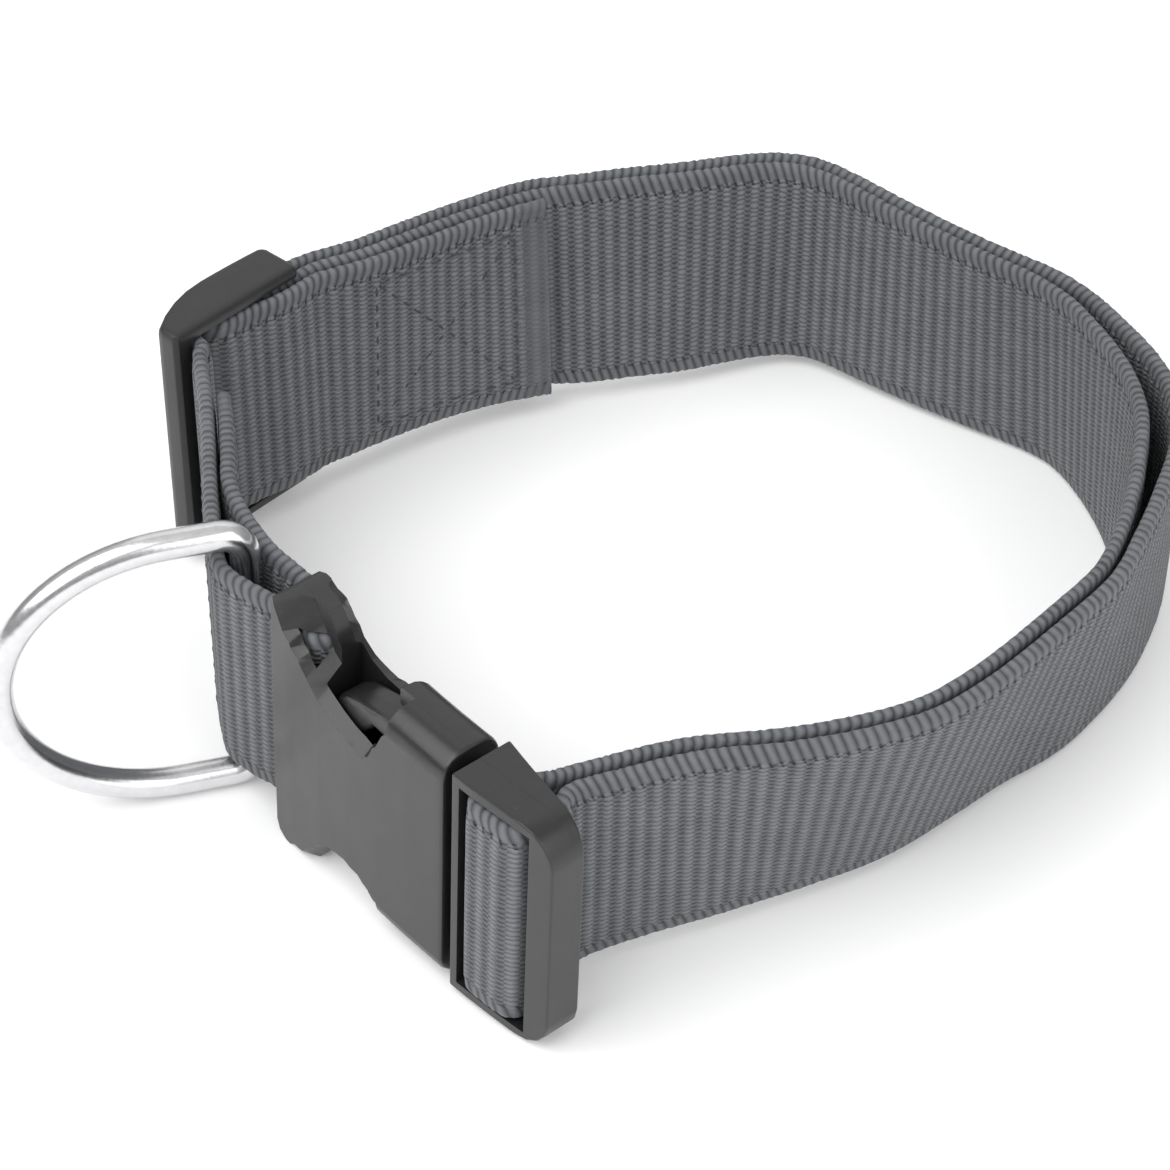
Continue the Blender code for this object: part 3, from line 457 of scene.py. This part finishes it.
socket_half = moulded_copy("buckle_female", "buckle_socket", BUCKLE_ROUNDING)
prong_half = moulded_copy("buckle_male", "buckle_prongs", BUCKLE_ROUNDING)
slide = moulded_copy("slider", "strap_slide", SLIDE_ROUNDING)
for piece in (socket_half, prong_half, slide):
    print(piece.name, "faces:", len(piece.data.polygons))

# %% [markdown]
# ## The leash ring
#
# The ring is a piece of 3 mm steel wire bent to a D and welded. In the frame it is a rough tube. Here the
# same middle line becomes a curve with a round bevel: the curve is the path of the wire, and the bevel is
# its thickness, so the wire stays evenly round through every bend. Once drawn it becomes a plain mesh, whose
# size can be measured exactly.

# %% Middle line of the wire
RING_CORNER = 2.6 * MM
RING_HALF = 14.9 * MM      # half the height of the middle line
RING_LENGTH = 24.7 * MM    # from the bar to the far end of the bow
RING_STRAIGHT = 7.5 * MM   # from the bar to the start of the bow
CORNER_STEPS = 8
BOW_STEPS = 48


def ring_points():
    """Middle line of the wire: (distance from the bar, height), from the lower corner round."""
    points = []
    for k in range(CORNER_STEPS + 1):
        angle = math.radians(180.0 + 90.0 * k / CORNER_STEPS)
        points.append((RING_CORNER * (1 + math.cos(angle)), RING_CORNER * (1 + math.sin(angle)) - RING_HALF))
    upper = [(away, -up) for away, up in reversed(points)]
    for k in range(BOW_STEPS + 1):
        angle = math.radians(-90.0 + 180.0 * k / BOW_STEPS)
        bow = (RING_LENGTH - RING_STRAIGHT) * math.cos(angle)
        points.append((RING_STRAIGHT + bow, RING_HALF * math.sin(angle)))
    bar = [(0.0, RING_HALF * share) for share in (0.6, 0.3, 0.0, -0.3, -0.6)]
    return points + upper + bar


wire_line = ring_points()
print("points along the wire:", len(wire_line))

# %% [markdown]
# The line is drawn in the plane of the ring, which stands upright on its bar and is turned to the way that
# the ring points. Each point finds its place from its distance and height, and the curve closes on itself.

# %% Bend the wire
WIRE = 3.0 * MM
RING_AXIS = Vector((-33.818, -16.796, 16.459)) * MM   # the middle of the bar
RING_TURN = math.radians(196.0)                       # the way the ring points, from the X axis

curve = bpy.data.curves.new("leash_ring", "CURVE")
curve.dimensions = "3D"
curve.bevel_depth = WIRE / 2
curve.bevel_resolution = 8
spline = curve.splines.new("POLY")
spline.points.add(len(wire_line) - 1)
for knot, (away, up) in zip(spline.points, wire_line):
    place = RING_AXIS + Vector((math.cos(RING_TURN) * away, math.sin(RING_TURN) * away, up))
    knot.co = (*place, 1.0)
spline.use_cyclic_u = True
spline.use_smooth = True
drawn_wire = bpy.data.objects.new("drawn_wire", curve)
bpy.context.scene.collection.objects.link(drawn_wire)
evaluated = drawn_wire.evaluated_get(bpy.context.evaluated_depsgraph_get())
leash_ring = bpy.data.objects.new("leash_ring", bpy.data.meshes.new_from_object(evaluated))
bpy.context.scene.collection.objects.link(leash_ring)
bpy.data.objects.remove(drawn_wire)
leash_ring.data.polygons.foreach_set("use_smooth", [True] * len(leash_ring.data.polygons))
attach(leash_ring, "ring")
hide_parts("d_ring")
print("leash ring faces:", len(leash_ring.data.polygons))

# %% [markdown]
# ## Helpers for materials
#
# A procedural material is a small machine of nodes: numbers come in from a position on the surface, pass
# through arithmetic, and end as colour, roughness or bump. Small helpers keep the cells short: one starts a
# finish, one adds any node, one adds a Math node for a step of arithmetic, and the others fade, blend or make
# smooth random values.

# %% Node helpers


def new_finish(name):
    """A material with a node tree, and its main shader."""
    finish = bpy.data.materials.new(name)
    finish.use_nodes = True
    tree = finish.node_tree
    return finish, tree, tree.nodes["Principled BSDF"]


def add_node(tree, kind, inputs=None, **settings):
    """A node whose inputs are values or other nodes' outputs."""
    made = tree.nodes.new(kind)
    for key, value in settings.items():
        setattr(made, key, value)
    for key, value in (inputs or {}).items():
        if isinstance(value, bpy.types.NodeSocket):
            tree.links.new(value, made.inputs[key])
        else:
            made.inputs[key].default_value = value
    return made


def calc(tree, operation, *values, clamp=False):
    """One step of arithmetic: a Math node whose inputs are numbers or other nodes' outputs."""
    made = add_node(tree, "ShaderNodeMath", dict(enumerate(values)), operation=operation, use_clamp=clamp)
    return made.outputs[0]


def between(tree, value, low, high):
    """0 below low, 1 above high, smooth between."""
    made = add_node(tree, "ShaderNodeMapRange", {"Value": value, "From Min": low, "From Max": high},
                    interpolation_type="SMOOTHSTEP")
    return made.outputs["Result"]


def mix_number(tree, share, first, second):
    """Blend two numbers, each a value or another node's output."""
    made = add_node(tree, "ShaderNodeMix", {0: share, 2: first, 3: second}, data_type="FLOAT")
    return made.outputs[0]


def mix_colour(tree, share, first, second):
    """Blend two colours, each a triple or another node's output."""
    ends = [end if isinstance(end, bpy.types.NodeSocket) else (*end, 1.0) for end in (first, second)]
    made = add_node(tree, "ShaderNodeMix", {0: share, 6: ends[0], 7: ends[1]}, data_type="RGBA")
    return made.outputs[2]


def speckle(tree, scale, detail=2.0, roughness=0.5, place=None):
    """Smooth random values from 0 to 1, this many to the metre, or to the unit of the place given."""
    inputs = {"Scale": scale, "Detail": detail, "Roughness": roughness}
    if place is not None:
        inputs["Vector"] = place
    else:
        inputs["Vector"] = add_node(tree, "ShaderNodeTexCoord").outputs["Object"]
    return add_node(tree, "ShaderNodeTexNoise", inputs).outputs["Fac"]


print("node helpers ready")

# %% [markdown]
# ## Grey webbing
#
# The UV map holds real millimetres: how far along the webbing, and how far above its middle. So the material
# can count threads. Ribs repeat along the webbing. Across each rib run the fine warp threads, which show as
# rows of short strokes, and in the groove between two ribs the other half of the warp shows, half a thread
# lower. That is what plain weave looks like. The selvedge has its own finer plait, with a row of little gaps
# beside it. At the heat-sealed ends the threads have run together, so a ragged band there is smoother and
# less rough. That band is also painted a darker, even grey, which is painted shade at the cut ends.

# %% Webbing finish
WARP = 0.60                     # millimetres from one visible warp thread to the next
GROOVE = 0.36                   # share of a rib's height below which the other half of the warp shows
SELVEDGE_IN, SELVEDGE = 10.75, 11.15   # heights, in millimetres, between which the plait takes over
PLAIT_SLANT = 0.35              # millimetres that the plait moves on for each millimetre of height
# The band at the ends is melted, so smoother and less rough; its darker, even grey is painted shade at the
# cut ends.
MELT_SHADE_IN, MELT_SHADE_OUT = 1.4, 2.4    # millimetres from the end between which the melted band fades out
MELT_SHADE_RAGGED = 2.2               # most, in millimetres, that noise moves the band's border outwards


def webbing_finish():
    """The weave's threads, worked out in millimetres from the UV map."""
    finish, tree, shader = new_finish("grey webbing")
    place = add_node(tree, "ShaderNodeUVMap", uv_map="weave")
    split = add_node(tree, "ShaderNodeSeparateXYZ", {0: place.outputs[0]})
    run, height = split.outputs[0], split.outputs[1]
    wobble = speckle(tree, 0.9, 2.0, 0.5, place.outputs[0])
    wobbled = calc(tree, "MULTIPLY_ADD", wobble, 0.5, height)

    turn = calc(tree, "MULTIPLY", run, 2 * math.pi / (RIB / MM))
    rib = calc(tree, "MULTIPLY_ADD", calc(tree, "COSINE", turn), 0.5, 0.5)
    groove = calc(tree, "LESS_THAN", rib, GROOVE)
    row = calc(tree, "MULTIPLY_ADD", groove, 0.5, calc(tree, "DIVIDE", wobbled, WARP))
    stroke = calc(tree, "ABSOLUTE", calc(tree, "SINE", calc(tree, "MULTIPLY", row, math.pi)))

    slant = calc(tree, "MULTIPLY_ADD", height, PLAIT_SLANT, run)
    plait = calc(tree, "ABSOLUTE", calc(tree, "SINE", calc(tree, "MULTIPLY", slant, math.pi / (KNOT / MM))))
    away = calc(tree, "ABSOLUTE", height)
    selvedge = between(tree, away, SELVEDGE_IN, SELVEDGE)
    beside = calc(tree, "COMPARE", away, SELVEDGE_IN, 0.28)
    gap = calc(tree, "MULTIPLY", beside, calc(tree, "LESS_THAN", plait, 0.45))

    # The band at each end: the webbing is melted there, and painted shade darkens it.
    from_tail = calc(tree, "SUBTRACT", LENGTH / MM, run)
    to_end = calc(tree, "MINIMUM", run, from_tail)
    ragged = calc(tree, "MULTIPLY_ADD", speckle(tree, 1.6, 2.0, 0.6, place.outputs[0]), -MELT_SHADE_RAGGED, to_end)
    melted = calc(tree, "SUBTRACT", 1.0, between(tree, ragged, MELT_SHADE_IN, MELT_SHADE_OUT))

    face_light = calc(tree, "MULTIPLY_ADD", rib, 0.50, calc(tree, "MULTIPLY", stroke, 0.50))
    light = mix_number(tree, selvedge, face_light, calc(tree, "MULTIPLY_ADD", plait, 0.6, 0.12))
    light = calc(tree, "MULTIPLY_ADD", gap, -0.55, light)
    # Painted shade: the band at each cut end is pulled towards a darker, even grey.
    light = mix_number(tree, calc(tree, "MULTIPLY", melted, 0.6), light, 0.34)
    uneven = speckle(tree, 0.22, 3.0, 0.6, place.outputs[0])
    light = calc(tree, "ADD", light, calc(tree, "MULTIPLY_ADD", uneven, 0.30, -0.15), clamp=True)
    grey = mix_colour(tree, light, (0.022, 0.024, 0.027), (0.205, 0.213, 0.226))
    fleck = between(tree, speckle(tree, 2.6, 1.0, 0.5, place.outputs[0]), 0.62, 0.74)
    fleck = calc(tree, "MULTIPLY", fleck, 0.35)
    tree.links.new(mix_colour(tree, fleck, grey, (0.095, 0.125, 0.145)), shader.inputs["Base Color"])

    face_relief = calc(tree, "MULTIPLY_ADD", rib, 0.45, calc(tree, "MULTIPLY", stroke, 0.55))
    relief = mix_number(tree, selvedge, face_relief, calc(tree, "MULTIPLY", plait, 0.5))
    relief = calc(tree, "MULTIPLY_ADD", gap, -0.8, relief)
    fibres = speckle(tree, 9.0, 2.0, 0.6, place.outputs[0])
    relief = calc(tree, "MULTIPLY_ADD", fibres, 0.18, relief)
    relief = calc(tree, "MULTIPLY", relief, calc(tree, "MULTIPLY_ADD", melted, -0.8, 1.0))
    bump = add_node(tree, "ShaderNodeBump", {"Height": relief, "Distance": 0.30 * MM, "Strength": 1.0})
    tree.links.new(bump.outputs[0], shader.inputs["Normal"])
    tree.links.new(mix_number(tree, melted, 0.82, 0.55), shader.inputs["Roughness"])
    shader.inputs["Specular IOR Level"].default_value = 0.35
    shader.inputs["Sheen Weight"].default_value = 0.10
    shader.inputs["Sheen Roughness"].default_value = 0.5
    return finish


def thread_finish():
    finish, tree, shader = new_finish("sewing thread")
    shade = speckle(tree, 2600.0, 2.0)
    tree.links.new(mix_colour(tree, shade, (0.022, 0.024, 0.026), (0.070, 0.073, 0.078)),
                   shader.inputs["Base Color"])
    bump = add_node(tree, "ShaderNodeBump", {"Height": speckle(tree, 5200.0, 1.0), "Distance": 0.06 * MM})
    tree.links.new(bump.outputs[0], shader.inputs["Normal"])
    shader.inputs["Roughness"].default_value = 0.6
    return finish


webbing.data.materials.append(webbing_finish())
thread = thread_finish()
for sewing in (flap_sewing, tail_sewing, outer_sewing):
    sewing.data.materials.append(thread)
print("webbing and thread finished")

# %% [markdown]
# ## Black moulded plastic
#
# Buckle plastic is not flat black. The mould leaves a very fine grain that spreads reflections, so faces
# look grey where they mirror something pale. Handling polishes it unevenly and leaves faint scuffs. Colour
# stays nearly even, and roughness and bump do the work. A buckle half also shows a fine line where the two
# halves of its mould met. It follows the bow of the buckle, so we work out each point's depth behind the
# buckle's front and draw the line at one depth.

# %% Parting line of the mould
BUCKLE_FRONT = Vector((-31.255, -25.156, 0.0)) * MM   # front of the socket half
BUCKLE_TURN = math.radians(-49.0)                     # the way the buckle runs, from the X axis
BUCKLE_REACH = 40.3 * MM                              # from the socket's front to the prong half's end
BUCKLE_BOW = 1.2 * MM
LINE_DEPTH = 3.2 * MM
LINE_HALF = 0.07 * MM                                 # half the width of the line


def parting_line(tree):
    """1 on the line where the mould parted, 0 away from it."""
    place = add_node(tree, "ShaderNodeTexCoord").outputs["Object"]
    behind = add_node(tree, "ShaderNodeVectorMath", {0: place, 1: BUCKLE_FRONT}, operation="SUBTRACT")
    along_way = (math.cos(BUCKLE_TURN), math.sin(BUCKLE_TURN), 0.0)
    inward_way = (-math.sin(BUCKLE_TURN), math.cos(BUCKLE_TURN), 0.0)
    inputs = {0: behind.outputs[0], 1: along_way}
    along = add_node(tree, "ShaderNodeVectorMath", inputs, operation="DOT_PRODUCT")
    inputs = {0: behind.outputs[0], 1: inward_way}
    inward = add_node(tree, "ShaderNodeVectorMath", inputs, operation="DOT_PRODUCT")
    share = calc(tree, "DIVIDE", along.outputs["Value"], BUCKLE_REACH)
    rest = calc(tree, "SUBTRACT", 1.0, share)
    bow = calc(tree, "MULTIPLY", calc(tree, "MULTIPLY", share, rest), 4 * BUCKLE_BOW)
    depth = calc(tree, "ADD", inward.outputs["Value"], bow)
    return calc(tree, "COMPARE", depth, LINE_DEPTH, LINE_HALF)


print("parting line at", round(LINE_DEPTH / MM, 1), "mm behind the buckle's front")

# %% Plastic finishes


def plastic_finish(name, colour, low, high, grain, parted):
    """Moulded plastic: roughness from low to high, grain depth in millimetres, parting line or not."""
    finish, tree, shader = new_finish(name)
    haze = speckle(tree, 260.0, 3.0, 0.55)
    tree.links.new(mix_number(tree, haze, low, high), shader.inputs["Roughness"])
    dust = between(tree, speckle(tree, 1400.0, 3.0, 0.65), 0.55, 0.8)
    pale = tuple(part * 1.4 + 0.004 for part in colour)
    tree.links.new(mix_colour(tree, dust, colour, pale), shader.inputs["Base Color"])
    fine = speckle(tree, 5200.0, 2.0, 0.6)
    bump = add_node(tree, "ShaderNodeBump", {"Height": fine, "Distance": grain * MM, "Strength": 0.5})
    normal = bump.outputs[0]
    if parted:
        ridge_bump = add_node(tree, "ShaderNodeBump", {"Height": parting_line(tree), "Distance": 0.12 * MM,
                                                       "Strength": 0.8, "Normal": normal})
        normal = ridge_bump.outputs[0]
    tree.links.new(normal, shader.inputs["Normal"])
    shader.inputs["Specular IOR Level"].default_value = 0.6
    return finish


buckle_plastic = plastic_finish("buckle plastic", (0.014, 0.014, 0.015), 0.24, 0.38, 0.02, True)
slide_plastic = plastic_finish("slide plastic", (0.012, 0.012, 0.013), 0.34, 0.48, 0.03, False)
for piece, finish in ((socket_half, buckle_plastic), (prong_half, buckle_plastic), (slide, slide_plastic)):
    piece.data.materials.append(finish)
print("plastic finished")

# %% [markdown]
# ## Plated steel
#
# The wire is nickel plated: a mirror, but a slightly grainy one, because the plating follows every scratch of
# the drawn wire. A metal has no colour of its own apart from its reflections, so the base colour is a pale
# grey, and small changes of roughness make the fine speckle.

# %% Steel finish


def steel_finish():
    finish, tree, shader = new_finish("plated steel")
    shader.inputs["Metallic"].default_value = 1.0
    tree.links.new(mix_colour(tree, speckle(tree, 900.0, 3.0, 0.7), (0.62, 0.62, 0.63), (0.80, 0.80, 0.81)),
                   shader.inputs["Base Color"])
    grain = speckle(tree, 2400.0, 3.0, 0.7)
    tree.links.new(mix_number(tree, grain, 0.13, 0.30), shader.inputs["Roughness"])
    bump = add_node(tree, "ShaderNodeBump", {"Height": grain, "Distance": 0.03 * MM, "Strength": 0.35})
    tree.links.new(bump.outputs[0], shader.inputs["Normal"])
    return finish


leash_ring.data.materials.append(steel_finish())
print("steel finished")

# %% [markdown]
# ## The studio
#
# The photograph shows the collar on plain white, lit from all round. A large pale floor gives the plastic
# something bright to mirror, and a broad soft light above and to the left gives the collar its shape. The
# sky is a pale grey that darkens towards the horizon, so that the steel has something dark to mirror too. The
# floor paper also shines very faintly by itself, as a light table does, which keeps the shadows thin.

# %% Floor
FLOOR_HALF = 3.0           # half the width of the floor paper, in metres
FLOOR_GLOW = 0.12
floor_corners = [(x * FLOOR_HALF, y * FLOOR_HALF, 0) for x, y in ((-1, -1), (1, -1), (1, 1), (-1, 1))]
floor_mesh = bpy.data.meshes.new("floor")
floor_mesh.from_pydata(floor_corners, [], [(0, 1, 2, 3)])
floor = bpy.data.objects.new("floor", floor_mesh)
bpy.context.scene.collection.objects.link(floor)
floor_finish, floor_tree, floor_shader = new_finish("floor paper")
floor_shader.inputs["Base Color"].default_value = (0.93, 0.93, 0.93, 1.0)
floor_shader.inputs["Roughness"].default_value = 0.9
floor_shader.inputs["Emission Color"].default_value = (1.0, 1.0, 1.0, 1.0)
floor_shader.inputs["Emission Strength"].default_value = FLOOR_GLOW
floor_mesh.materials.append(floor_finish)
print("floor glow:", FLOOR_GLOW)

# %% Sky and lamps
SKY_STRENGTH = 0.74
LAMP_SIZE = 1.1            # metres
LAMP_TARGET = Vector((0, 0, 0.01))

world =bpy.data.worlds.new("studio")
bpy.context.scene.world = world
world.use_nodes = True
sky = world.node_tree
direction = add_node(sky, "ShaderNodeTexCoord").outputs["Generated"]
upward = add_node(sky, "ShaderNodeSeparateXYZ", {0: direction}).outputs[2]
tone = mix_colour(sky, between(sky, upward, 0.05, 1.0), (0.42, 0.42, 0.43), (1.0, 1.0, 1.0))
sky.links.new(tone, sky.nodes["Background"].inputs["Color"])
sky.nodes["Background"].inputs["Strength"].default_value = SKY_STRENGTH


def soft_lamp(name, at, power):
    """A square lamp, at a place in metres, that looks at the collar."""
    data = bpy.data.lights.new(name, "AREA")
    data.shape = "SQUARE"
    data.size = LAMP_SIZE
    data.energy = power
    lamp = bpy.data.objects.new(name, data)
    bpy.context.scene.collection.objects.link(lamp)
    lamp.location = at
    lamp.rotation_euler = (LAMP_TARGET - Vector(at)).to_track_quat("-Z", "Y").to_euler()


soft_lamp("key", (-0.55, -0.35, 0.85), 10.0)
soft_lamp("fill", (0.75, -0.75, 0.55), 5.5)
soft_lamp("back", (0.1, 0.95, 0.7), 1.6)
print("studio ready")

# %% [markdown]
# ## The camera
#
# The photograph looks down at 40 degrees from the buckle's side, from rather near: the front of the collar is
# clearly larger than the back. A long lens at 38 cm gives the same perspective and the same framing.

# %% Camera
ELEVATION = math.radians(40.0)
DISTANCE = 0.380
TARGET = Vector((-0.00166, -0.00165, 0.01206))
SENSOR = 36.0              # millimetres, as on a full-frame camera
LENS = 116.34              # focal length in millimetres
camera_data = bpy.data.cameras.new("camera")
camera_data.sensor_width = SENSOR
camera_data.lens = LENS
camera_data.clip_start = 0.01
camera = bpy.data.objects.new("camera", camera_data)
bpy.context.scene.collection.objects.link(camera)
camera.location = TARGET + DISTANCE * Vector((0.0, -math.cos(ELEVATION), math.sin(ELEVATION)))
camera.rotation_euler = (math.pi / 2 - ELEVATION, 0.0, 0.0)
bpy.context.scene.camera = camera
bpy.context.scene.view_settings.view_transform = "Standard"
print("camera at", tuple(round(part, 3) for part in camera.location))
